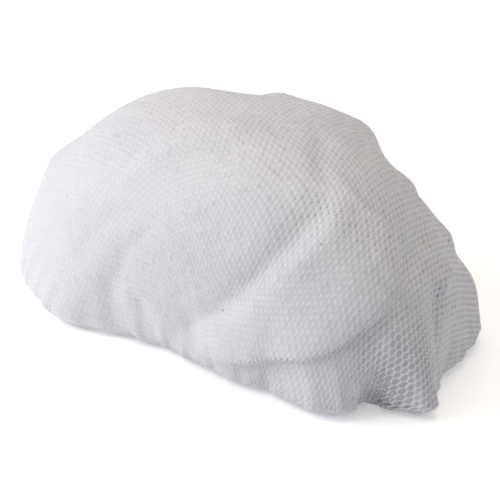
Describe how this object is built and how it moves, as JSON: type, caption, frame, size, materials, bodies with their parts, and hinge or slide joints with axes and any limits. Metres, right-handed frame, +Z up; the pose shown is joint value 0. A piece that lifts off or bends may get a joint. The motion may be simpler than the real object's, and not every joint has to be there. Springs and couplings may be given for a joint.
{
  "type": "hairnet",
  "caption": "Puffed white hairnet: a bag of fine honeycomb netting drawn into an elastic hem, open below, resting on its rim.",
  "frame": {"origin": "On the surface that the hairnet rests on, below the middle of its bounding box seen from above.", "axes": "+X along the bag's long side, towards its drooping end; +Z up, away from the surface; -Y is the side with the long crease and the overhanging fold."},
  "size_m": [0.269, 0.1644, 0.1146],
  "materials": {
    "netting": "fine white nylon honeycomb netting, see-through where it lies in one layer",
    "elastic": "white yarn-covered elastic, gathered"
  },
  "bodies": {
    "root": {"crown_net": "netting", "elastic_hem": "elastic"}
  },
  "joints": []
}
